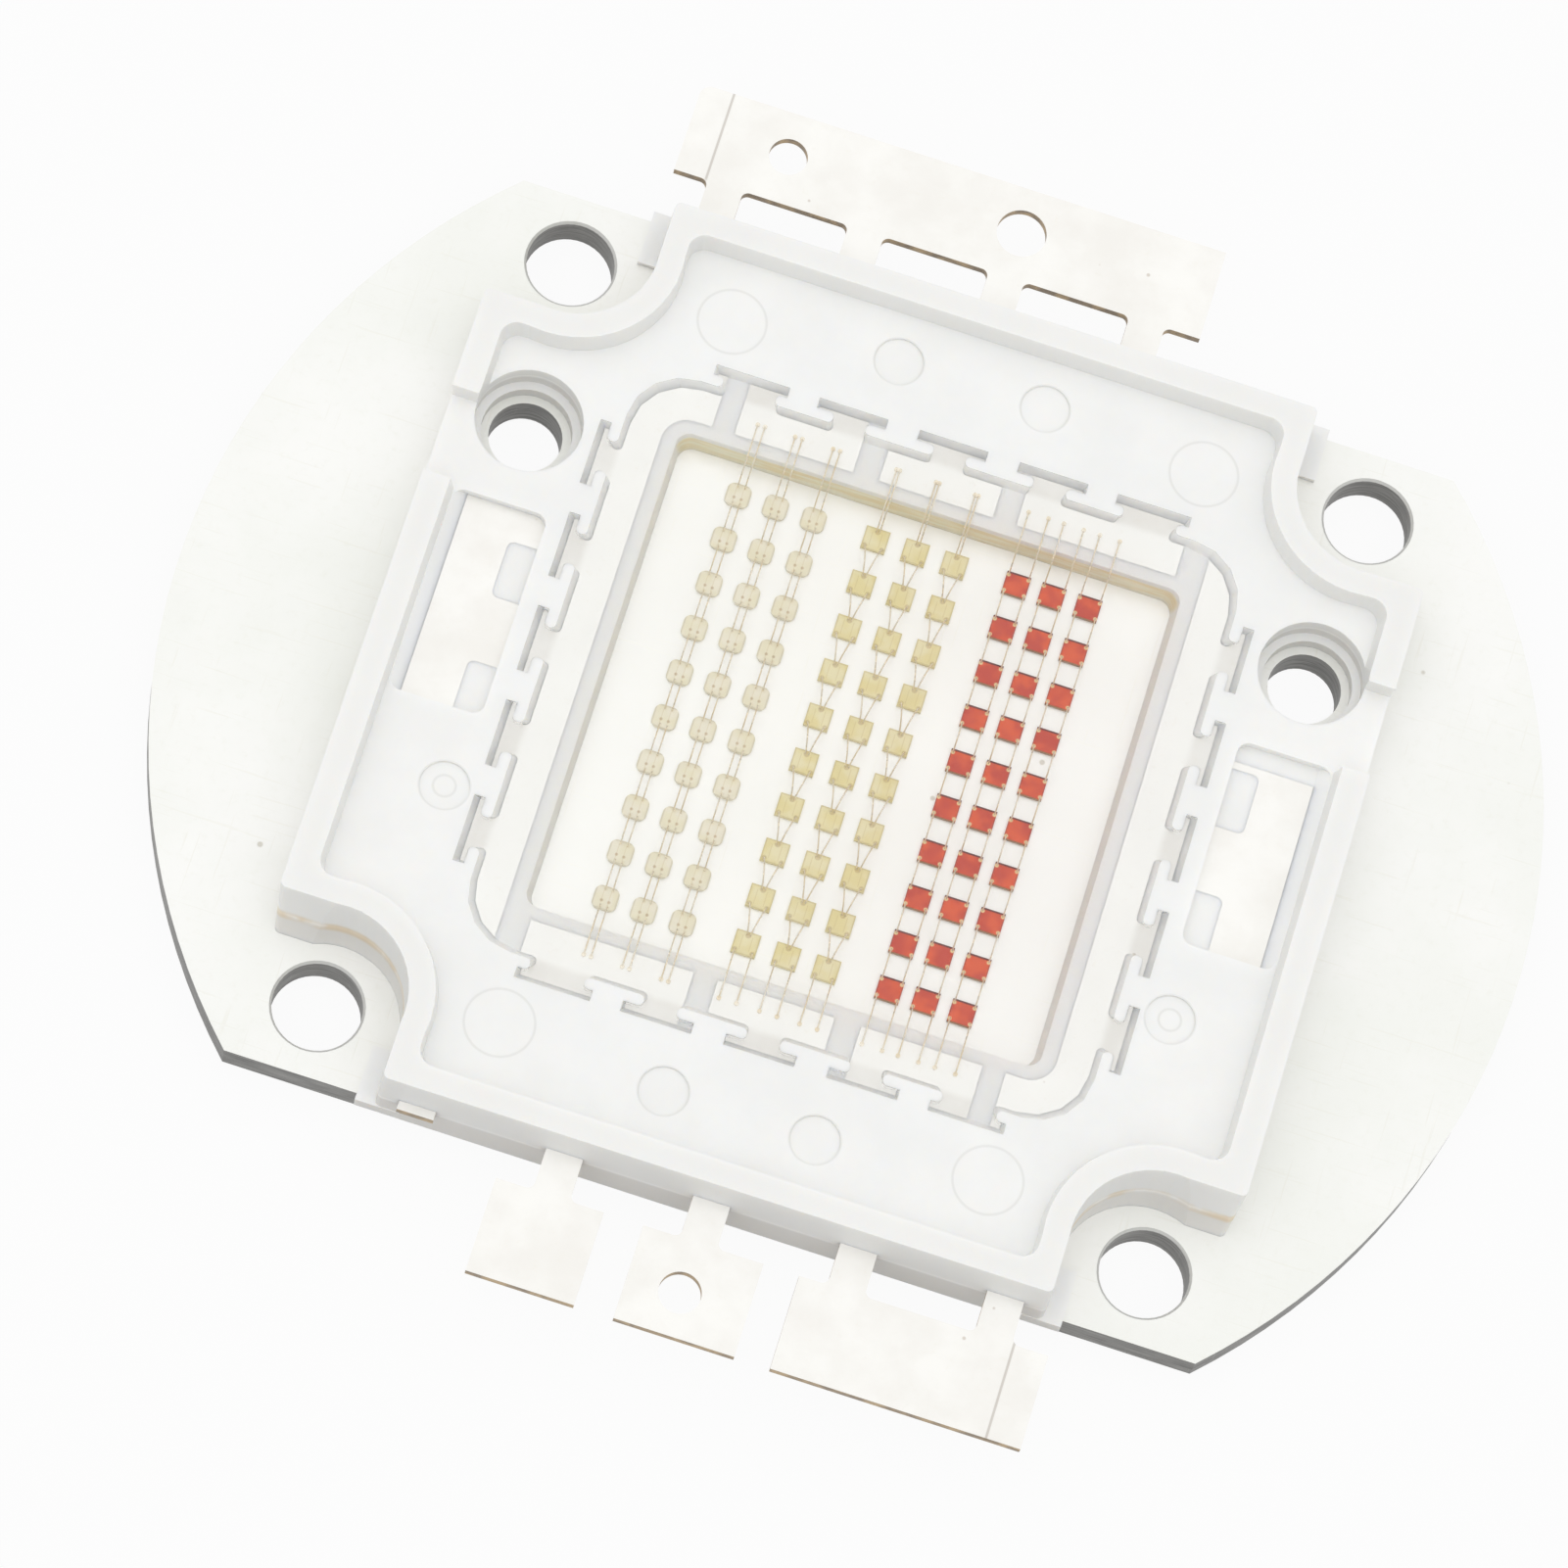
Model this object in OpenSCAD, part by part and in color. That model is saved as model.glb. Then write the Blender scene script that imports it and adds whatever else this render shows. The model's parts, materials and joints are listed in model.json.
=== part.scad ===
// High power chip-on-board light: a bare metal base plate, a stamped lead frame in four pieces,
// a white housing moulded around both, and rows of chips joined by looped wires under clear gel.
// X runs along the long side of the plate, +Y points to the joined terminal strip, Z is up,
// and the origin is the middle of the plate's underside.

/* [Base plate] */
// Distance from a corner screw hole to the plate's round edge
rim_margin = 4.1; // [3.6:0.1:4.6]
// Distance from a corner screw hole to the plate's flat edge
flat_margin = 2.9; // [2.7:0.1:3.1]
// Thickness of the plate
plate_t = 1.6; // [1.2:0.1:2.0]
// Rounding cut along the lower edges
plate_edge = 0.2; // [0.1:0.05:0.4]
// Distance between the corner screw holes along X
corner_x = 34; // [33.8:0.1:34.2]
// Distance between the corner screw holes along Y
corner_y = 33.6; // [33.4:0.1:33.8]
// Diameter of the corner screw holes
corner_d = 3.6; // [3.2:0.1:3.8]
// Edge break at the mouth of a corner hole
corner_break = 0.1; // [0.05:0.05:0.2]
// Distance that the side screw holes are set in from the corner holes
side_inset = 0.53; // [0.4:0.01:0.65]
// Distance of the side screw holes from the middle line
side_y = 8.9; // [8.7:0.1:9.0]
// Diameter of the side screw holes
side_d = 3.0; // [2.6:0.1:3.2]

/* [Lead frame] */
// Thickness of the stamped leads
lead_t = 0.4; // [0.3:0.05:0.5]
// Height of the leads above the plate
lead_lift = 1.0; // [0.8:0.05:1.2]
// Distance from one leg to the next
leg_pitch = 6; // [5.8:0.1:6.2]
// Width of a leg
leg_w = 1.5; // [1.2:0.1:1.8]
// Radius where a leg runs into its tab
leg_fillet = 0.3; // [0.1:0.05:0.4]
// Length of a leg outside the housing
leg_out = 1.55; // [1.2:0.05:2]
// Depth of a solder tab, from its inner to its outer edge
tab_depth = 4.05; // [3.6:0.05:4.6]
// Diameter of the large hole in the joined strip
strip_hole_d = 2.06; // [1.6:0.02:2.4]
// Diameter of the small hole in the joined strip
strip_pin_d = 1.6; // [1.2:0.1:2]
// Diameter of the hole in the middle output tab
output_hole_d = 1.7; // [1.2:0.1:2]
// Depth of a bond pad that shows inside the opening
pad_show = 1.4; // [1.2:0.05:1.6]
// Width of a side rail that shows inside the opening
rail_show = 1.35; // [1.1:0.05:1.5]

/* [Housing] */
// Height of the wall under the rim's top face, above the plate
rim_h = 2.75; // [2.4:0.05:3.2]
// Thickness of the deck over the leads
deck_t = 0.4; // [0.35:0.05:0.5]
// Thickness of the skirt that wraps the flat sides
skirt_t = 0.65; // [0.55:0.05:0.8]
// Drop of the skirt below the top of the plate
skirt_drop = 0.4; // [0.2:0.05:0.8]
// Distance from a side screw to the lobe's outer wall, at the rim
lobe_wall = 3.33; // [3.1:0.01:3.5]
// Width of the rim's top face
rim_w = 1.02; // [0.8:0.02:1.2]
// Draft of the outer walls at the ends, from rim to plate
wall_draft = 0.4; // [0.2:0.05:0.5]
// Radius of the clearance around a corner screw
relief_r = 3.4; // [3.2:0.05:3.45]
// Width of the ledge between the chip well and the toothed opening
ledge_w = 2.17; // [2.1:0.01:2.25]
// Radius of the opening's corners
opening_r = 2.35; // [2:0.05:2.6]
// Distance from one tooth to the next
tooth_pitch = 4.15; // [4.1:0.01:4.2]
// Depth of a tooth's head
tooth_head = 0.45; // [0.35:0.05:0.5]
// Width of the gap between two tooth heads
neck_w = 1.35; // [1.2:0.05:1.5]
// Width of the recess behind two tooth heads
recess_w = 2.85; // [2.6:0.05:3]
// Depth of the recess behind the tooth heads
recess_depth = 0.45; // [0.35:0.05:0.5]
// Diameter of the head clearance over a side screw
side_head_d = 4.4; // [4:0.1:4.6]
// Depth of the ejector pin marks
pin_mark_depth = 0.08; // [0.05:0.01:0.15]

/* [Light field] */
// Clear plate between the last chips and the well's wall
field_margin = 0.86; // [0.7:0.02:0.9]
// Distance from one chip to the next in a row
chip_pitch = 2.015; // [1.95:0.005:2.03]
// Side of a square chip
chip_w = 1.0; // [0.9:0.02:1.1]
// Thickness of a chip
chip_t = 0.15; // [0.1:0.01:0.2]
// Diameter of a bond wire
wire_d = 0.06; // [0.05:0.005:0.07]
// Distance between the two bonds of a looped wire
loop_span = 1.3; // [1.2:0.05:1.4]
// Distance of the end bonds from the opening's edge
bond_inset = 0.7; // [0.5:0.05:0.8]

/* [Hidden] */
$fn = 48;
tiny = 0.01;
rows = 10;
lead_z = plate_t + lead_lift;
lead_top = lead_z + lead_t;
deck_z = lead_top + deck_t;
rim_z = plate_t + rim_h;
plate_d = norm([corner_x, corner_y]) + 2 * rim_margin;
plate_w = corner_y + 2 * flat_margin;
half_w = plate_w / 2;
side_x = corner_x - 2 * side_inset;

// light field, from the chips outwards
last_row = (rows - 1) / 2 * chip_pitch;
first_row = -last_row;
well_y = last_row + chip_w / 2 + field_margin;
well_x = well_y - 0.03;
opening = well_y + ledge_w;
pad_inner = opening - pad_show;
rail_inner = opening - rail_show;
bond_y = opening - bond_inset;

// housing block and lobes: the wall leans out from the rim to the parting line, then on to the foot
relief_x = corner_x / 2;
relief_y = corner_y / 2 + 0.03;
block_x = relief_x - relief_r + 0.02;
block_foot_x = block_x + 0.06;
lobe_x = side_x / 2 + lobe_wall;
lobe_y = relief_y - relief_r + 0.03;
parting_z = plate_t + rim_h * 0.44;
foot_z = plate_t - skirt_drop;
block_foot_y = half_w + skirt_t - 0.3;
block_part_y = block_foot_y - 0.1;
block_rim_y = block_foot_y - wall_draft;
lobe_foot_y = lobe_y + 0.94;
lobe_part_y = lobe_y + 0.47;
lobe_foot_x = lobe_x - 0.2;
block_corner_r = 0.25;
lobe_corner_r = 0.25;
pin_mark_x = 3.1;
pin_mark_y = block_rim_y - 3.3;
pin_mark_r = 1.02;
side_mark = [15, -7.05];
relief_foot_x = relief_x - 0.37;
relief_foot_y = relief_y + 0.57;
relief_foot_r = relief_r - 0.4;
fillet_x = relief_x - 0.6;
fillet_y = relief_y - 0.1;
pocket_taper = 1.011;
pocket_r = 0.7;
tab_foot_x = block_x + 0.83;
tab_foot_y = block_foot_y - 2.35;
tab_foot_h = 0.25;

// toothed opening
recess_out = opening + tooth_head + recess_depth;
opening_taper = 1.02;
end_recess = [6.8, 9.85];
end_neck = [7.2, 9.4];
tooth_r = 0.2;

// windows over the side rails
window_in = 14.5;
window_out = 17.85;
window_slope = 0.55;
window_y = [-3.8, 5.2];
window_r = 0.5;
notch_out = 15.7;
notch_y = [[1.35, 3.85], [-4.1, -1.5]];
notch_r = 0.3;
side_head_step = 0.6;
gate_y = [5.1, 8.95];

// lead frame: rails, pads and tabs of one blank that is the same turned half a turn
rail_out = side_x / 2 - side_head_d / 2 - 0.07;
rail_end = block_part_y - 1.5;
rail_neck = rail_out - 1.25;
rail_mid = 12.4;
rail_step = 9.45;
rail_wide = 18.35;
rail_wide_y = [-4.4, 5.8];
rail_r = 1.1;
pad_depth = 4.3;
side_pad = [3.4, 10.1];
outer_pad = [3.5, 8.5];
mid_pad = [-2.4, 2.4];
strip_x = [-14.2, 8.25];
tab_inner = block_foot_y + leg_out;
tab_outer = tab_inner + tab_depth;
strip_hole = [0.05, tab_outer - 2];
strip_pin = [-9.95, tab_outer - 1.95];
left_tab_x = [-8.25, -3.85];
middle_tab_x = [-2.25, 2.65];
right_tab_x = [4.1, 14.25];
output_hole = [-0.1, 1.8 - tab_outer];
output_inner = tab_inner + 0.1;
stub_end = block_foot_y + 0.22;
scribe_x = 12.85;
corner_r = 0.5;

// light field
well_taper = 1.021;
well_r = 0.6;
blue_x = [-7.6, -6.02, -4.42];
green_x = [-1.8, -0.13, 1.52];
red_x = [4.14, 5.63, 7.15];
chip_top = plate_t + chip_t;
end_bond = (chip_pitch - loop_span) / 2;
blue_corner_r = 0.3;
blue_bonds = [-0.12, 0.18];
green_mid_bonds = [-0.06, 0.08];
green_edge_bonds = [-0.36, 0.36];
red_bonds = [-0.42, 0.42];
arch_top = lead_top + deck_t / 2;
arch_r = arch_top - chip_top;
foot_r = 0.09;
foot_h = 0.08;

// ---- helpers ----

// flat rectangle between two corners
module rect(x0, y0, x1, y1) {
    translate([min(x0, x1), min(y0, y1)])
        square([abs(x1 - x0), abs(y1 - y0)]);
}

// flat rectangle about the middle with round corners
module round_rect(hx, hy, r) {
    square([2 * (hx - r), 2 * hy], center = true);
    square([2 * hx, 2 * (hy - r)], center = true);
    for (sx = [-1, 1])
        for (sy = [-1, 1])
            translate([sx * (hx - r), sy * (hy - r)])
                circle(r);
}

// flat web that fills an inner corner at p, in the quarter given by turn
module inner_fillet(p, turn, r) {
    translate(p)
        rotate(turn)
            difference() {
                translate([-tiny, -tiny])
                    square(r + tiny);
                translate([r, r])
                    circle(r);
            }
}

// copies in all four quarters
module quarters() {
    for (sx = [0, 1])
        for (sy = [0, 1])
            mirror([sx, 0, 0])
                mirror([0, sy, 0])
                    children();
}

// copies on the left and the right
module sides() {
    for (sx = [0, 1])
        mirror([sx, 0, 0])
            children();
}

// thin level of a moulded wall
module level(hx, hy, r, z) {
    translate([0, 0, z])
        linear_extrude(tiny, $fn = 24)
            round_rect(hx, hy, r);
}

// ---- base plate ----

module plate_blank() {
    intersection() {
        union() {
            cylinder(h = plate_edge, r1 = plate_d / 2 - plate_edge, r2 = plate_d / 2);
            translate([0, 0, plate_edge])
                cylinder(h = plate_t - plate_edge, d = plate_d);
        }
        rotate([90, 0, 90])
            linear_extrude(plate_d + 2, center = true)
                polygon([
                    [-half_w + plate_edge, 0],
                    [half_w - plate_edge, 0],
                    [half_w, plate_edge],
                    [half_w, plate_t],
                    [-half_w, plate_t],
                    [-half_w, plate_edge],
                ]);
    }
}

module base_plate() {
    color([0.80, 0.80, 0.76])
        difference() {
            plate_blank();
            for (sx = [-1, 1])
                for (sy = [-1, 1])
                    translate([sx * corner_x / 2, sy * corner_y / 2, 0]) {
                        translate([0, 0, -1])
                            cylinder(h = plate_t + 2, d = corner_d);
                        translate([0, 0, plate_t - corner_break])
                            cylinder(h = corner_break, d1 = corner_d, d2 = corner_d + 2 * corner_break);
                    }
            for (sx = [-1, 1])
                translate([sx * side_x / 2, side_y, -1])
                    cylinder(h = plate_t + 2, d = side_d);
        }
}

// ---- lead frame ----

// leg that leaves the housing's +Y wall and ends at the tab's edge
module leg(x, reach) {
    rect(x - leg_w / 2, pad_inner + 2, x + leg_w / 2, reach + tiny);
    inner_fillet([x + leg_w / 2, reach], -90, leg_fillet);
    inner_fillet([x - leg_w / 2, reach], 180, leg_fillet);
}

// bond pad that shows along the +Y edge of the well
module pad(span) {
    rect(span[0], pad_inner, span[1], pad_inner + pad_depth);
}

// plastic-filled notch where a window crosses the rail
module rail_notch(span) {
    rect(-rail_out - tiny, span[0], -notch_out + notch_r, span[1]);
    rect(-notch_out + 2 * notch_r, span[0] + notch_r, -notch_out, span[1] - notch_r);
    for (y = [span[0] + notch_r, span[1] - notch_r])
        translate([-notch_out + notch_r, y])
            circle(notch_r);
}

// side rail at -X: from the leg at the +Y wall down to the trimmed stub at the -Y wall
module rail() {
    difference() {
        union() {
            rect(-rail_neck, -rail_end, -rail_inner, rail_end);
            rect(-rail_out, -rail_mid, -rail_inner - 1, rail_mid);
            rect(-rail_inner - 1, pad_inner, -rail_step, pad_inner + pad_depth);
            rect(-rail_wide, rail_wide_y[0], -rail_inner - 1, rail_wide_y[1]);
            inner_fillet([-rail_inner, pad_inner], -90, rail_r);
            rect(-2 * leg_pitch - leg_w / 2, -stub_end, -2 * leg_pitch + leg_w / 2, 0);
        }
        for (span = notch_y)
            rail_notch(span);
    }
}

module common_outline() {
    difference() {
        union() {
            rect(strip_x[0], tab_inner, strip_x[1], tab_outer - corner_r);
            rect(strip_x[0] + corner_r, tab_inner, strip_x[1], tab_outer);
            translate([strip_x[0] + corner_r, tab_outer - corner_r])
                circle(corner_r);
            for (i = [-2:1])
                leg(i * leg_pitch, tab_inner);
            pad([-outer_pad[1], -outer_pad[0]]);
            pad(mid_pad);
            pad(side_pad);
            rail();
        }
        translate(strip_hole)
            circle(d = strip_hole_d);
        translate(strip_pin)
            circle(d = strip_pin_d);
    }
}

module left_outline() {
    rect(left_tab_x[0], -output_inner, left_tab_x[1], -tab_outer);
    rotate(180) {
        leg(leg_pitch, output_inner);
        pad(side_pad);
    }
}

module middle_outline() {
    difference() {
        union() {
            rect(middle_tab_x[0], -output_inner, middle_tab_x[1], -tab_outer);
            rotate(180) {
                leg(0, output_inner);
                pad(mid_pad);
            }
        }
        translate(output_hole)
            circle(d = output_hole_d);
    }
}

module right_outline() {
    rect(right_tab_x[0], -output_inner, right_tab_x[1], -tab_outer);
    rotate(180) {
        leg(-leg_pitch, output_inner);
        leg(-2 * leg_pitch, output_inner);
        pad([-outer_pad[1], -outer_pad[0]]);
        rail();
    }
}

// stamped sheet at the lead frame's level
module stamped() {
    translate([0, 0, lead_z])
        linear_extrude(lead_t)
            children();
}

module common_lead() {
    color([0.86, 0.84, 0.80])
        stamped()
            common_outline();
}

module output_lead_left() {
    color([0.86, 0.84, 0.80])
        stamped()
            left_outline();
}

module output_lead_middle() {
    color([0.86, 0.84, 0.80])
        stamped()
            middle_outline();
}

module output_lead_right() {
    color([0.86, 0.84, 0.80])
        stamped()
            right_outline();
}

// ---- housing ----

// outer walls of the block, from the skirt around the plate up to the rim
module block() {
    hull() {
        level(block_foot_x, block_foot_y, block_corner_r, foot_z);
        level(block_foot_x, block_part_y, block_corner_r, parting_z);
        level(block_x, block_rim_y, block_corner_r, rim_z - tiny);
    }
}

// outer walls of the lobes at both sides
module lobes() {
    hull() {
        level(lobe_foot_x, lobe_foot_y, lobe_corner_r, plate_t);
        level(lobe_foot_x + 0.1, lobe_part_y, lobe_corner_r, parting_z);
        level(lobe_x, lobe_y, lobe_corner_r, rim_z - tiny);
    }
}

// leaning round clearance for a corner screw's head
module corner_relief() {
    hull() {
        translate([relief_foot_x, relief_foot_y, plate_t - 1])
            cylinder(h = 1, r = relief_foot_r);
        translate([relief_x, relief_y, rim_z])
            cylinder(h = 1, r = relief_r);
    }
}

// low foot beside a block corner
module foot_tab() {
    translate([block_x - 1, tab_foot_y, foot_z])
        cube([tab_foot_x - block_x + 1, block_foot_y - tab_foot_y, plate_t + tab_foot_h - foot_z]);
}

// outline of the sunk deck inside the rim
module pocket_outline() {
    difference() {
        union() {
            round_rect(block_x - rim_w, block_rim_y - rim_w, pocket_r);
            round_rect(lobe_x - rim_w - 0.13, lobe_y - rim_w, pocket_r);
            quarters()
                rect(block_x - 3, lobe_y - 3, relief_x, relief_y);
        }
        quarters()
            translate([relief_x, relief_y])
                circle(relief_r + rim_w + 0.02);
    }
}

// T-shaped recess between two teeth, open to -Y, with its mouth at the origin
module t_recess(neck, head) {
    rect(neck[0], -0.5, neck[1], tooth_head + tiny);
    rect(head[0], tooth_head, head[1], tooth_head + recess_depth);
}

module opening_outline() {
    offset(r = -tooth_r, $fn = 16)
        offset(delta = tooth_r)
            union() {
                round_rect(opening, opening, opening_r);
                for (turn = [0, 90, 180, 270], i = [-2:2])
                    rotate(turn)
                        translate([i * tooth_pitch, opening])
                            t_recess([-neck_w / 2, neck_w / 2], [-recess_w / 2, recess_w / 2]);
                for (turn = [0, 180], flip = [0, 1])
                    rotate(turn)
                        mirror([flip, 0])
                            translate([0, opening])
                                t_recess(end_neck, end_recess);
            }
}

// space over the leads, inside the teeth
module opening_space(top) {
    translate([0, 0, lead_top])
        linear_extrude(top, scale = 1 + (opening_taper - 1) * top / deck_t)
            opening_outline();
}

// space over the plate that holds the chips
module well_space() {
    translate([0, 0, plate_t])
        linear_extrude(lead_top - plate_t + tiny, scale = well_taper)
            round_rect(well_x, well_y, well_r);
}

// window down to the side rail, with a sloping outer wall
module window() {
    window_end = window_out + window_slope;
    intersection() {
        translate([(window_in + window_end) / 2, (window_y[0] + window_y[1]) / 2, lead_top])
            linear_extrude(deck_t + tiny)
                round_rect((window_end - window_in) / 2, (window_y[1] - window_y[0]) / 2, window_r);
        translate([0, window_y[1] + 1, 0])
            rotate([90, 0, 0])
                linear_extrude(window_y[1] - window_y[0] + 2)
                    polygon([
                        [window_in - 1, lead_top],
                        [window_out, lead_top],
                        [window_end, deck_z],
                        [window_end, deck_z + 1],
                        [window_in - 1, deck_z + 1],
                    ]);
    }
}

// side screw: hole for its head, and the gap it leaves in the rim
module side_screw_space() {
    translate([side_x / 2, side_y, plate_t + side_head_step])
        cylinder(h = rim_h + 1, d = side_head_d);
    translate([side_x / 2, side_y, plate_t - 1])
        cylinder(h = rim_h + 1, d = side_head_d - 0.7);
    translate([lobe_x - rim_w - 0.6, gate_y[0], deck_z])
        cube([rim_w + 2, gate_y[1] - gate_y[0], rim_h]);
}

module housing() {
    color([0.90, 0.90, 0.89])
        difference() {
            union() {
                difference() {
                    union() {
                        block();
                        lobes();
                        quarters()
                            translate([block_x - 2, lobe_y - 2, plate_t])
                                cube([fillet_x - block_x + 2, fillet_y - lobe_y + 2, rim_h]);
                    }
                    quarters()
                        corner_relief();
                }
                quarters()
                    foot_tab();
            }
            translate([0, 0, deck_z])
                linear_extrude(rim_h, scale = 1 + (pocket_taper - 1) * rim_h / (rim_z - deck_z))
                    scale(1 / pocket_taper)
                        pocket_outline();
            opening_space(deck_t + tiny);
            well_space();
            sides() {
                window();
                side_screw_space();
                for (y = [-pin_mark_y, pin_mark_y])
                    translate([pin_mark_x, y, deck_z - pin_mark_depth])
                        cylinder(h = rim_h, r = pin_mark_r);
                translate([side_mark[0], side_mark[1], deck_z - pin_mark_depth])
                    cylinder(h = rim_h, r = pin_mark_r);
            }
            translate([-plate_d / 2, -half_w, 0])
                cube([plate_d, plate_w, plate_t]);
            stamped() common_outline();
            stamped() left_outline();
            stamped() middle_outline();
            stamped() right_outline();
        }
}

// ---- light field ----

// one column of square chips, with round corners if a radius is given
module chips(x, corner) {
    for (i = [0:rows - 1])
        translate([x, first_row + i * chip_pitch, plate_t])
            linear_extrude(chip_t)
                if (corner > 0)
                    round_rect(chip_w / 2, chip_w / 2, corner);
                else
                    square(chip_w, center = true);
}

// round wire bent to part of a ring that stands over +Y, from angle a0 through sweep
module bent_wire(r, a0, sweep) {
    rotate([90, 0, 90])
        rotate(a0)
            rotate_extrude(angle = sweep)
                translate([r, 0])
                    circle(d = wire_d);
}

// looped wire between two neighbouring chips, from offset x0 to offset x1
module loop_wire(x0, x1) {
    run = norm([x1 - x0, loop_span]);
    translate([(x0 + x1) / 2, 0, chip_top])
        rotate(-atan2(x1 - x0, loop_span))
            bent_wire(run / 2, 0, 180);
}

// wire from the last chip up over the well's edge and down to a bond pad
module end_wire(x) {
    start_y = last_row + end_bond;
    crest_y = start_y + arch_r;
    drop = arch_top - lead_top - wire_d;
    reach = bond_y - crest_y;
    r = (reach * reach + drop * drop) / (2 * drop);
    translate([x, crest_y, chip_top])
        bent_wire(arch_r, 90, 90);
    translate([x, crest_y, arch_top - r])
        bent_wire(r, 90 - asin(reach / r), asin(reach / r));
    translate([x, bond_y, lead_top])
        cylinder(h = foot_h, r = foot_r);
}

// all wires of one column: from[] and to[] are the bonds' offsets on each chip
module wires(x, from, to) {
    translate([x, 0, 0]) {
        for (i = [0:rows - 2], k = [0, 1])
            translate([0, first_row + (i + 0.5) * chip_pitch, 0])
                loop_wire(from[k], to[k]);
        for (k = [0, 1]) {
            end_wire(from[k]);
            mirror([0, 1, 0])
                end_wire(to[k]);
        }
    }
}

module blue_chips(n) {
    color([0.86, 0.83, 0.72])
        chips(blue_x[n], blue_corner_r);
}

module green_chips(n) {
    color([0.62, 0.60, 0.28])
        chips(green_x[n], 0);
}

module red_chips(n) {
    color([0.90, 0.30, 0.12])
        chips(red_x[n], 0);
}

module blue_wires(n) {
    color([0.84, 0.68, 0.36])
        wires(blue_x[n], blue_bonds, blue_bonds);
}

module green_wires(n) {
    color([0.84, 0.68, 0.36])
        wires(green_x[n], green_mid_bonds, green_edge_bonds);
}

module red_wires(n) {
    color([0.84, 0.68, 0.36])
        wires(red_x[n], red_bonds, red_bonds);
}

// clear gel that fills the well and the toothed opening, flush with the deck
module encapsulant() {
    color([0.93, 0.93, 0.88, 0.35])
        difference() {
            union() {
                well_space();
                opening_space(deck_t);
            }
            for (n = [0:2]) {
                blue_chips(n);
                green_chips(n);
                red_chips(n);
                blue_wires(n);
                green_wires(n);
                red_wires(n);
            }
        }
}

base_plate();
housing();
common_lead();
output_lead_left();
output_lead_middle();
output_lead_right();
encapsulant();
blue_chips(0);  // blue_chips_1
blue_chips(1);  // blue_chips_2
blue_chips(2);  // blue_chips_3
green_chips(0);  // green_chips_1
green_chips(1);  // green_chips_2
green_chips(2);  // green_chips_3
red_chips(0);  // red_chips_1
red_chips(1);  // red_chips_2
red_chips(2);  // red_chips_3
blue_wires(0);  // blue_wires_1
blue_wires(1);  // blue_wires_2
blue_wires(2);  // blue_wires_3
green_wires(0);  // green_wires_1
green_wires(1);  // green_wires_2
green_wires(2);  // green_wires_3
red_wires(0);  // red_wires_1
red_wires(1);  // red_wires_2
red_wires(2);  // red_wires_3
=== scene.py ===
"""Looks of a chip-on-board light: plate, leads, moulded housing, chips, bond wires and clear gel."""

import json

import bmesh
import bpy
from mathutils import Matrix, Vector

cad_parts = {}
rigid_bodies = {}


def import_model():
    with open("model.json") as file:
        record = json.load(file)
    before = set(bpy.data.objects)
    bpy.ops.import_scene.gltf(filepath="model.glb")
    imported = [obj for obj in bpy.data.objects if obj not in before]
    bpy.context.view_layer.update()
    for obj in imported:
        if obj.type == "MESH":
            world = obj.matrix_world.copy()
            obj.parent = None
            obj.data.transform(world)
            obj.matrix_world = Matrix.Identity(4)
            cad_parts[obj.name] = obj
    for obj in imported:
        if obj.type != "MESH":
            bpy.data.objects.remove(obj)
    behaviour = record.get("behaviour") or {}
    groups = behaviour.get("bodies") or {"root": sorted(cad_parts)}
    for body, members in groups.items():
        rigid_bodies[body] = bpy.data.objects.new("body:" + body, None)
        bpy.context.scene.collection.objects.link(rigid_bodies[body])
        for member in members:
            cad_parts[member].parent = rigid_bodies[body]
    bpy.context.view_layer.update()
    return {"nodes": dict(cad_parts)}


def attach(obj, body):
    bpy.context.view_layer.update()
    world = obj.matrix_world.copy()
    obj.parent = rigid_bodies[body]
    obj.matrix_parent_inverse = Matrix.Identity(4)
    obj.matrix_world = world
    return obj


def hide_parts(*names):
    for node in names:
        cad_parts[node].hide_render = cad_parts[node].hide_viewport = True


MM = 0.001

# ---- places on the part, in millimetres from its middle and up from the plate's underside ----

COLUMNS = {
    "blue": (-7.6, -6.02, -4.42),
    "green": (-1.8, -0.13, 1.52),
    "red": (4.14, 5.63, 7.15),
}
CHIP_PITCH = 2.015
FIELD_HALF = 10.6  # the plate under the gel, with a little to spare
PADS_HALF = 12.7  # the lead frame's parts under the gel
TEETH_HALF = 14.1  # the housing's teeth and well
WELL_TOP = 2.75  # where the painted shade on the low walls ends and the reliefs are stained
PARTING = 2.8
SCRIBE_X = 12.85
RELIEF_CENTRE = (17, 16.8)
RELIEF_RADIUS = 4.2
DECK_MARKS = (((10, 15.75), 1.4), ((3.1, 16.35), 1.02))  # ejector marks, one in each quarter
SIDE_MARKS = (((15, -7.05), 1.02), ((15, -7.05), 0.45))  # ejector marks, one on each side
CHIP_SOFT = 0.03  # soft edge of a mark on a chip
GEL_DEPTH = 1.82 * MM
GEL_INSET = 0.015 * MM


def tone(red, green, blue):
    """A screen colour, 0 to 255, as the linear colour that a shader takes."""
    screen = [c / 255 for c in (red, green, blue)]
    return tuple(c / 12.92 if c < 11 / 255 else ((c + 0.055) / 1.055) ** 2.4 for c in screen) + (1,)


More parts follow.
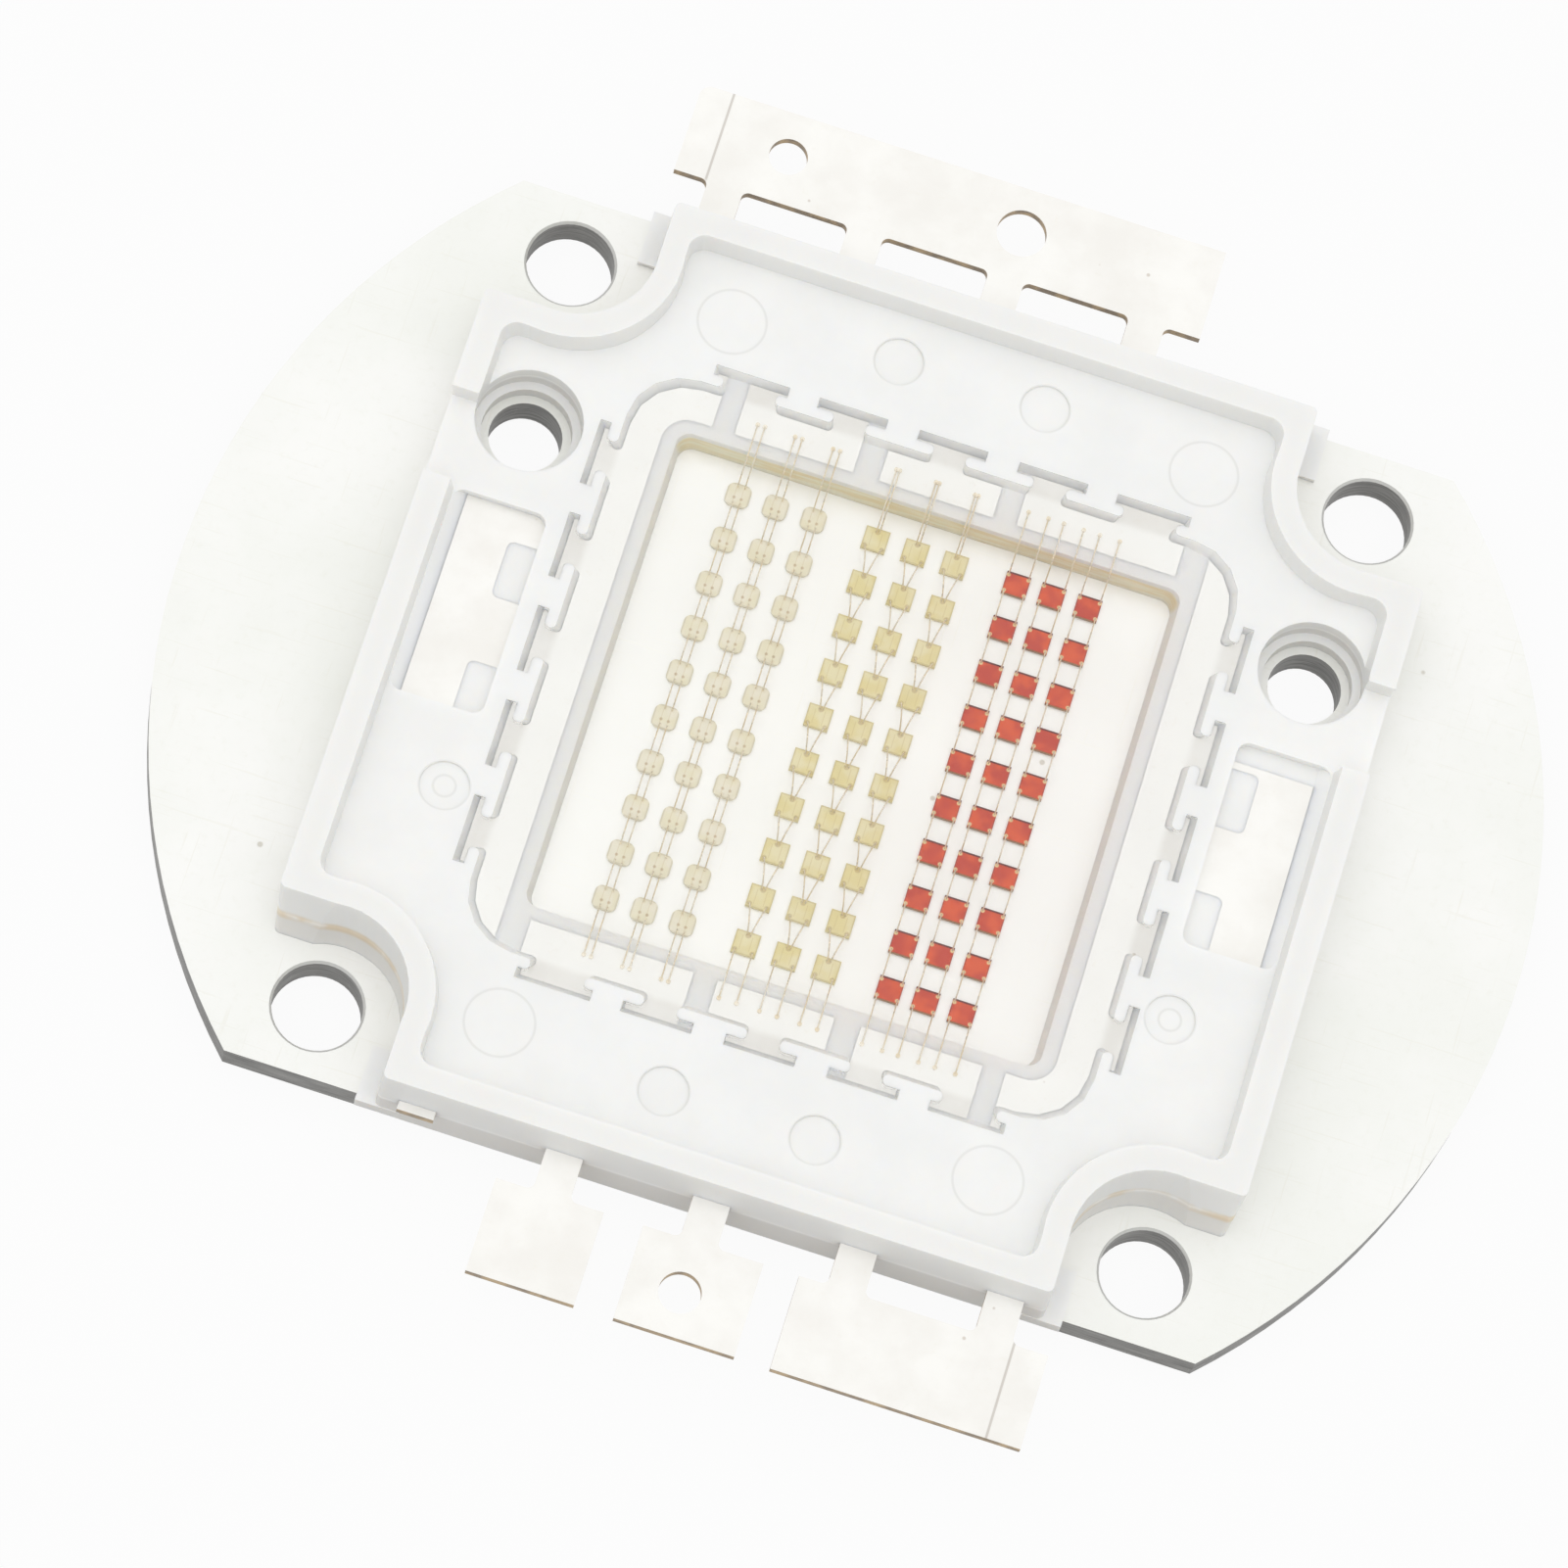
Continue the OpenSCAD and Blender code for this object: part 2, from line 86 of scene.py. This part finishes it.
class Value:
    """A shader value that adds Math nodes as it is used in sums."""

    def __init__(self, finish, socket):
        self.finish = finish
        self.socket = socket

    def maths(self, operation, *others, first=None):
        inputs = (first, self) if first is not None else (self, *others)
        return self.finish.node("ShaderNodeMath", {"operation": operation}, *inputs).value()

    def __add__(self, other):
        return self.maths("ADD", other)

    def __sub__(self, other):
        return self.maths("SUBTRACT", other)

    def __rsub__(self, other):
        return self.maths("SUBTRACT", first=other)

    def __mul__(self, other):
        return self.maths("MULTIPLY", other)

    def __truediv__(self, other):
        return self.maths("DIVIDE", other)

    def __rtruediv__(self, other):
        return self.maths("DIVIDE", first=other)

    __radd__ = __add__
    __rmul__ = __mul__

    def __abs__(self):
        return self.maths("ABSOLUTE")

    def least(self, other):
        return self.maths("MINIMUM", other)

    def most(self, other):
        return self.maths("MAXIMUM", other)

    def fraction(self):
        return self.maths("FRACT")

    def root(self):
        return self.maths("SQRT")

    def ramp(self, low, high):
        """0 at low and 1 at high, with soft ends; low may be the larger."""
        if low > high:
            return 1 - self.ramp(high, low)
        settings = {"interpolation_type": "SMOOTHSTEP"}
        return self.finish.node("ShaderNodeMapRange", settings, self, low, high, 0, 1).value()


class Step:
    """One shader node, with its outputs as values."""

    def __init__(self, finish, node):
        self.finish = finish
        self.node = node

    def value(self, name=None):
        outputs = self.node.outputs
        socket = outputs[name] if name else next(s for s in outputs if s.enabled)
        return Value(self.finish, socket)


class Shading:
    """A node tree, written as expressions."""

    def __init__(self, tree):
        self.tree = tree

    def node(self, kind, settings, *inputs, **named):
        """A node of a kind: its settings come first, then its sockets in order or by name."""
        node = self.tree.nodes.new(kind)
        for key, value in settings.items():
            setattr(node, key, value)
        sockets = list(zip([s for s in node.inputs if s.enabled], inputs))
        sockets += [(node.inputs[key.replace("_", " ")], value) for key, value in named.items()]
        for socket, value in sockets:
            if isinstance(value, Value):
                self.link(value, socket)
            else:
                socket.default_value = value
        return Step(self, node)

    def link(self, value, socket):
        self.tree.links.new(value.socket, socket)

    def axes(self, vector):
        parts = self.node("ShaderNodeSeparateXYZ", {}, vector)
        return [parts.value(axis) for axis in "XYZ"]


class Finish(Shading):
    """A material with a Principled shader."""

    def __init__(self, name, **fixed):
        self.material = bpy.data.materials.new(name)
        self.material.use_nodes = True
        super().__init__(self.material.node_tree)
        self.shader = self.tree.nodes["Principled BSDF"]
        for key, value in fixed.items():
            self.shader.inputs[key.replace("_", " ")].default_value = value

    def set(self, name, value):
        self.link(value, self.shader.inputs[name])

    def place(self):
        """The point on the object, in millimetres, as a vector value."""
        coordinates = self.node("ShaderNodeTexCoord", {}).value("Object")
        scaled = self.node("ShaderNodeVectorMath", {"operation": "SCALE"}, coordinates, Scale=1 / MM)
        return scaled.value("Vector")

    def facing(self):
        """How far the face leans up: 1 on top, 0 on a wall."""
        return self.axes(self.node("ShaderNodeNewGeometry", {}).value("Normal"))[2]

    def noise(self, vector, scale, detail=3.0, roughness=0.5):
        settings = {"noise_dimensions": "3D"}
        step = self.node("ShaderNodeTexNoise", settings, Vector=vector, Scale=scale, Detail=detail,
                         Roughness=roughness)
        return step.value("Factor" if "Factor" in step.node.outputs else "Fac")

    def specks(self, vector, scale, size):
        """Small scattered dots, 1 at the middle of a dot."""
        step = self.node("ShaderNodeTexVoronoi", {"feature": "F1"}, Vector=vector, Scale=scale,
                         Randomness=1.0)
        return step.value("Distance").ramp(size, size * 0.5)

    def stretched(self, vector, factors, turn=0.0):
        """The place stretched along its axes and turned about Z, for scratches and streaks."""
        step = self.node("ShaderNodeMapping", {}, vector, Rotation=(0, 0, turn), Scale=factors)
        return step.value("Vector")

    def mix(self, factor, first, second):
        return self.node("ShaderNodeMix", {"data_type": "RGBA"}, factor, first, second).value()

    def bump(self, height, strength, distance):
        step = self.node("ShaderNodeBump", {}, Height=height, Strength=strength, Distance=distance)
        self.set("Normal", step.value("Normal"))


# ---- masks ----


def away(x, y, centre):
    """How far a place is from a centre."""
    dx, dy = x - centre[0], y - centre[1]
    return (dx * dx + dy * dy).root()


def spot(x, y, centre, radius, soft):
    """1 inside a round spot and 0 outside."""
    return away(x, y, centre).ramp(radius + soft, radius - soft)


def box_mask(u, v, half, soft):
    """1 inside a square about the middle and 0 outside."""
    return abs(u).ramp(half + soft, half - soft) * abs(v).ramp(half + soft, half - soft)


# ---- finishes ----


def plated_plate():
    """Silver plated copper: pale satin top with fine scratches, painted lighter under the gel as painted
    light, sides painted dark grey as painted shade, with grooves.
    """
    f = Finish("plated plate")
    place = f.place()
    x, y = f.axes(place)[:2]
    cloud = f.noise(place, 0.12, 4.0, 0.6)
    grain = f.noise(place, 2.5, 5.0, 0.7)
    worn = grain.ramp(0.5, 0.8) * 0.3
    scratch = f.noise(f.stretched(place, (0.25, 9.0, 1.0), 0.5), 1.0, 2.0, 0.4).ramp(0.66, 0.74)
    cross = f.noise(f.stretched(place, (8.0, 0.3, 1.0), -0.35), 1.0, 2.0, 0.4).ramp(0.68, 0.76)
    grooves = f.noise(f.stretched(place, (0.6, 0.6, 14.0)), 1.0, 3.0, 0.6)
    side = f.facing().ramp(0.85, 0.5)
    well = box_mask(x, y, FIELD_HALF, 0.1)
    colour = f.mix(cloud.ramp(0.3, 0.7), tone(245, 245, 242), tone(240, 241, 236))
    colour = f.mix(worn, colour, tone(230, 230, 220))
    # Painted light: under the gel the plate is painted lighter to make up for light the gel holds back;
    # Metallic rises there to brighten it too.
    colour = f.mix(well, colour, f.mix(worn, tone(255, 255, 252), tone(250, 250, 246)))
    colour = f.mix((scratch + cross).least(1) * (0.25 - well * 0.15), colour, tone(228, 226, 214))
    colour = f.mix(f.specks(place, 0.3, 0.045) * 0.5, colour, tone(170, 160, 138))
    # Painted shade: the plate's side faces are painted dark grey, with grooves along them.
    side_colour = f.mix(grooves.ramp(0.3, 0.7), tone(150, 149, 146), tone(100, 99, 97))
    f.set("Base Color", f.mix(side, colour, side_colour))
    f.set("Metallic", 0.25 + well * 0.45)
    f.set("Roughness", 0.36 + cloud * 0.16 + side * 0.05 - scratch * 0.08)
    f.bump(grain * 0.4 + scratch * -0.5 + cross * -0.4 + side * grooves, 0.12, 0.00003)
    return f.material


def plated_lead():
    """Silver plated stamping: warm white faces, painted lighter under the gel as painted light, brown cut
    edges and specks, a scribed line at each end.
    """
    f = Finish("plated lead", Metallic=0.35)
    place = f.place()
    x, y = f.axes(place)[:2]
    cloud = f.noise(place, 0.35, 4.0, 0.6)
    grain = f.noise(place, 3.5, 5.0, 0.7)
    scribe = abs(abs(x) - SCRIBE_X).ramp(0.07, 0.03) * abs(y).ramp(21.4, 21.7)
    side = abs(f.facing()).ramp(0.8, 0.4)
    painted_light_under_gel = box_mask(x, y, PADS_HALF, 0.2)
    colour = f.mix(cloud.ramp(0.3, 0.7), tone(244, 243, 239), tone(238, 236, 231))
    # Painted light: the lead faces under the gel are painted lighter to make up for light the gel holds
    # back.
    colour = f.mix(painted_light_under_gel * 0.8, colour, tone(255, 255, 252))
    colour = f.mix(grain.ramp(0.55, 0.75) * 0.2, colour, tone(232, 227, 214))
    colour = f.mix(f.specks(place, 0.5, 0.05) * 0.4, colour, tone(160, 136, 108))
    colour = f.mix(scribe * 0.45, colour, tone(150, 138, 124))
    side_colour = f.mix(f.noise(place, 1.6).ramp(0.35, 0.65), tone(184, 154, 104), tone(122, 98, 66))
    f.set("Base Color", f.mix(side * 0.85, colour, side_colour))
    f.set("Roughness", 0.26 + cloud * 0.18 + side * 0.15)
    f.bump(grain * 0.4 - scribe, 0.15, 0.00003)
    return f.material


def white_plastic():
    """Matt white moulding: a parting line painted lighter as a painted highlight, walls and low walls
    painted darker as painted shade, teeth painted near white as painted light, ejector marks ringed with
    painted shade, gold on the far well wall that is partly painted shade.
    """
    f = Finish("white plastic", Subsurface_Weight=0.6, Subsurface_Scale=0.0004,
               Subsurface_Radius=(1.0, 0.9, 0.75))
    place = f.place()
    x, y, z = f.axes(place)
    cloud = f.noise(place, 0.25, 4.0, 0.6)
    grain = f.noise(place, 4.0, 4.0, 0.6)
    streak = f.noise(f.stretched(place, (0.5, 1.0, 6.0)), 1.0, 3.0, 0.6)
    wall = f.facing().ramp(0.85, 0.5)
    low = z.ramp(WELL_TOP, 2.6)
    parting_highlight = abs(z - PARTING).ramp(0.08, 0.03) * wall
    teeth = abs(x).ramp(TEETH_HALF, 13.95) * abs(y).ramp(TEETH_HALF, 13.95) * z.ramp(3.39, 3.35)
    far_wall = teeth * wall * y.ramp(9.8, 10.2) * low
    relief = spot(abs(x), abs(y), RELIEF_CENTRE, RELIEF_RADIUS, 0.3)
    stain = relief * wall * abs(z - WELL_TOP).ramp(0.3, 0.08) * f.noise(place, 0.5).ramp(0.35, 0.55)
    marks = None
    for across, places in ((abs(y), DECK_MARKS), (y, SIDE_MARKS)):
        for centre, radius in places:
            ring = abs(away(abs(x), across, centre) - radius).ramp(0.08, 0.02) * (1 - wall)
            marks = marks.most(ring) if marks else ring
    colour = f.mix(cloud.ramp(0.3, 0.7), tone(244, 244, 242), tone(240, 240, 238))
    # Painted shade: the rim top, which gets more light than the deck, is painted a little darker to even
    # them out.
    colour = f.mix(z.ramp(3.5, 4.2) * (1 - wall) * 0.6, colour, tone(235, 235, 233))
    # Painted shade: the walls, except at the teeth, are painted darker than the tops.
    colour = f.mix(wall * (1 - teeth) * 0.5, colour, tone(220, 220, 217))
    # Painted shade: the walls below the well top are painted darker and browner.
    colour = f.mix(wall * low * 0.5, colour, tone(212, 208, 202))
    # Painted light: the teeth and the opening under the gel are painted near white, and kept out of the
    # painted wall shade, to make up for light the gel holds back.
    colour = f.mix(teeth, colour, tone(253, 253, 251))
    # The gold on the far well wall is partly the plastic's own yellow and partly painted shade.
    gold_and_shade = f.mix(streak.ramp(0.35, 0.65), tone(254, 246, 218), tone(244, 226, 178))
    colour = f.mix(far_wall * 0.85, colour, gold_and_shade)
    # Painted highlight: the parting line is painted lighter, as the light caught by its small ledge.
    colour = f.mix(parting_highlight * 0.6, colour, tone(248, 247, 244))
    colour = f.mix(stain * 0.6, colour, tone(216, 192, 148))
    # Painted shade: each ejector mark's edge is painted as a darker ring; the bump also sinks it.
    f.set("Base Color", f.mix(marks * 0.32, colour, tone(206, 206, 202)))
    f.set("Roughness", 0.42 + cloud * 0.15)
    f.bump(grain * 0.5 - marks * 0.5, 0.12, 0.00003)
    return f.material


def clear_gel():
    """Clear silicone with a slightly uneven surface."""
    f = Finish("clear gel", Base_Color=(1, 1, 1, 1), Roughness=0.0, IOR=1.41, Transmission_Weight=1.0)
    f.bump(f.noise(f.place(), 0.15, 2.0, 0.5), 0.08, 0.0002)
    return f.material


def chip(name, column, half, light, dark):
    """A chip's finish, its place from its middle along X and along the column, its rim and its tint."""
    f = Finish(name, Coat_Weight=0.3)
    x, y = f.axes(f.place())[:2]
    u, v = x - column, ((y / CHIP_PITCH).fraction() - 0.5) * CHIP_PITCH
    rim = 1 - box_mask(u, v, half, CHIP_SOFT)
    f.set("Roughness", 0.25 + rim * 0.2)
    shade = f.noise(f.place(), 1.1, 2.0, 0.5)
    return f, u, v, rim, f.mix(shade.ramp(0.35, 0.65), light, dark)


def fingers(u, v, apart):
    """Two thin lines along the chip, each at the same distance from its middle."""
    return abs(abs(u) - apart).ramp(CHIP_SOFT, 0.01) * abs(v).ramp(0.34, 0.3)


def blue_chip(column):
    """Pale sand chip with a clear layer on top, a darker rim, faint fingers and small bond pads."""
    f, u, v, rim, colour = chip("blue chip", column, 0.43, tone(253, 248, 230), tone(249, 243, 216))
    pads = spot(u, abs(v), (-0.12, 0.35), 0.08, CHIP_SOFT)
    pads = pads.most(spot(u, abs(v), (0.18, 0.35), 0.08, CHIP_SOFT))
    burns = spot(u, v, (-0.14, -0.12), 0.06, CHIP_SOFT)
    burns = burns.most(spot(u, v, (0.17, -0.14), 0.06, CHIP_SOFT))
    colour = f.mix(rim * 0.6, colour, tone(216, 208, 184))
    colour = f.mix(fingers(u, v, 0.15) * 0.3, colour, tone(222, 204, 160))
    colour = f.mix(pads * 0.08, colour, tone(206, 176, 116))
    f.set("Base Color", f.mix(burns * 0.5, colour, tone(180, 140, 70)))
    return f.material


def green_chip(column):
    """Yellow-olive chip with brown rims, a bond in the middle of one edge and at two corners."""
    f, u, v, rim, colour = chip("green chip", column, 0.44, tone(250, 242, 200), tone(244, 232, 172))
    pads = spot(u, v, (0.0, 0.35), 0.12, CHIP_SOFT)
    pads = pads.most(spot(abs(u), v, (0.36, -0.35), 0.1, CHIP_SOFT))
    colour = f.mix(rim * 0.5, colour, tone(206, 190, 132))
    colour = f.mix(fingers(u, v, 0.2) * 0.3, colour, tone(216, 198, 130))
    f.set("Base Color", f.mix(pads * 0.35, colour, tone(176, 142, 76)))
    return f.material


def red_chip(column):
    """Bright orange-red chip with a dark rim at one side and gold corner bonds."""
    f, u, v, rim, colour = chip("red chip", column, 0.45, tone(238, 88, 26), tone(210, 58, 22))
    glints = f.noise(f.place(), 9.0, 3.0, 0.7).ramp(0.6, 0.75)
    bonds = spot(abs(u), abs(v), (0.42, 0.35), 0.08, CHIP_SOFT)
    colour = f.mix(glints * 0.5, colour, tone(236, 120, 70))
    colour = f.mix(rim * 0.5, colour, tone(140, 50, 24))
    colour = f.mix(v.ramp(0.4, 0.45) * 0.9, colour, tone(90, 20, 14))
    colour = f.mix(v.ramp(-0.44, -0.47) * 0.9, colour, tone(150, 112, 60))
    f.set("Base Color", f.mix(bonds, colour, tone(250, 226, 170)))
    return f.material


def gold_wire():
    """Fine gold bond wire."""
    f = Finish("gold wire", Metallic=0.3)
    cloud = f.noise(f.place(), 1.5)
    f.set("Base Color", f.mix(cloud.ramp(0.3, 0.7), tone(250, 243, 228), tone(238, 224, 196)))
    f.set("Roughness", 0.2 + cloud * 0.15)
    return f.material


# ---- pieces ----


def dress(node, material):
    """Give a frame node its finish."""
    node.data.materials.clear()
    node.data.materials.append(material)


def piece(name, form, material, body="root"):
    """Turn a bmesh into a finished object that rides on the frame."""
    mesh = bpy.data.meshes.new(name)
    form.to_mesh(mesh)
    form.free()
    thing = bpy.data.objects.new(name, mesh)
    bpy.context.scene.collection.objects.link(thing)
    mesh.materials.append(material)
    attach(thing, body)
    return thing


def gel_body(node, depth, inset):
    """The gel as one clear block with the toothed outline, standing a little inside the housing."""
    same, sharpest = 1e-7, 0.3
    form = bmesh.new()
    form.from_mesh(node.data)
    bmesh.ops.remove_doubles(form, verts=form.verts, dist=same)
    top = max(v.co.z for v in form.verts)
    lower = [face for face in form.faces if min(v.co.z for v in face.verts) < top - 10 * same]
    bmesh.ops.delete(form, geom=lower, context="FACES")
    bmesh.ops.dissolve_limit(form, angle_limit=0.01, verts=form.verts, edges=form.edges)
    made = bmesh.ops.extrude_face_region(form, geom=form.faces[:])
    moved = [part for part in made["geom"] if isinstance(part, bmesh.types.BMVert)]
    bmesh.ops.translate(form, verts=moved, vec=(0, 0, -depth))
    bmesh.ops.recalc_face_normals(form, faces=form.faces)
    moves = []
    for vert in form.verts:
        walls = [face.normal for face in vert.link_faces if abs(face.normal.z) < 0.5]
        if walls:
            first, last = walls[0], walls[-1]
            moves.append((vert, (first + last) * -inset / max(sharpest, 1 + first.dot(last))))
    for vert, move in moves:
        vert.co += move
    return piece("gel", form, clear_gel())


# ---- stage ----


def floor():
    """Pale floor that shows white to the eye and keeps a faint shadow."""
    bpy.ops.mesh.primitive_plane_add(size=4, location=(0, 0, -0.00002))
    ground = bpy.context.active_object
    ground.name = "floor"
    paper = Finish("floor", Base_Color=(0.6, 0.6, 0.6, 1), Roughness=0.9)
    path = paper.node("ShaderNodeLightPath", {})
    seen = path.value("Is Camera Ray").most(path.value("Is Glossy Ray"))
    seen = seen.most(path.value("Is Transmission Ray"))
    plain = Value(paper, paper.shader.outputs["BSDF"])
    glow = paper.node("ShaderNodeEmission", {}, Strength=1.0).value()
    blend = paper.node("ShaderNodeMixShader", {}, seen * 0.94, plain, glow).value()
    paper.link(blend, paper.tree.nodes["Material Output"].inputs["Surface"])
    ground.data.materials.append(paper.material)


def lights():
    """A soft lamp overhead and a sky that is a little brighter above."""
    data = bpy.data.lights.new("overhead", "AREA")
    data.shape = "SQUARE"
    data.size = 0.7
    data.energy = 0.25
    lamp = bpy.data.objects.new("overhead", data)
    lamp.location = (-0.2, 0.3, 0.7)
    lamp.rotation_euler = (-lamp.location).to_track_quat("-Z", "Y").to_euler()
    bpy.context.scene.collection.objects.link(lamp)

    world = bpy.data.worlds.new("sky")
    bpy.context.scene.world = world
    world.use_nodes = True
    sky = Shading(world.node_tree)
    height = sky.axes(sky.node("ShaderNodeTexCoord", {}).value("Generated"))[2]
    level = sky.node("ShaderNodeMapRange", {}, height, 0, 0.8, 0.72, 1.08).value()
    backdrop = world.node_tree.nodes["Background"]
    backdrop.inputs["Color"].default_value = (1, 1, 1, 1)
    sky.link(level, backdrop.inputs["Strength"])


def camera():
    """Long lens looking down on the module, as it is usually shown."""
    data = bpy.data.cameras.new("camera")
    data.lens = 190.0
    data.sensor_width = 36.0
    data.clip_start = 0.01
    data.clip_end = 10
    view = bpy.data.objects.new("camera", data)
    right = Vector((0.95158, 0.28547, 0.11402))
    up = Vector((-0.30738, 0.88709, 0.34436))
    turn = Matrix((right, up, right.cross(up))).transposed().to_4x4()
    view.matrix_world = Matrix.Translation((-0.003228, -0.121289, 0.308317)) @ turn
    bpy.context.scene.collection.objects.link(view)
    bpy.context.scene.camera = view


def main():
    bpy.ops.object.select_all(action="SELECT")
    bpy.ops.object.delete()
    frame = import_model()
    nodes = frame["nodes"]
    dress(nodes["base_plate"], plated_plate())
    dress(nodes["housing"], white_plastic())
    lead = plated_lead()
    for name in ("common_lead", "output_lead_left", "output_lead_middle", "output_lead_right"):
        dress(nodes[name], lead)
    wire = gold_wire()
    for colour, finish in (("blue", blue_chip), ("green", green_chip), ("red", red_chip)):
        for number, column in enumerate(COLUMNS[colour], 1):
            dress(nodes[f"{colour}_chips_{number}"], finish(column))
            dress(nodes[f"{colour}_wires_{number}"], wire)
    gel = gel_body(nodes["encapsulant"], GEL_DEPTH, GEL_INSET)
    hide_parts("encapsulant")
    floor()
    lights()
    camera()
    scene = bpy.context.scene
    scene.view_settings.view_transform = "Standard"
    scene.cycles.blur_glossy = 0.0  # keeps the light that leaves through the clear gel


main()
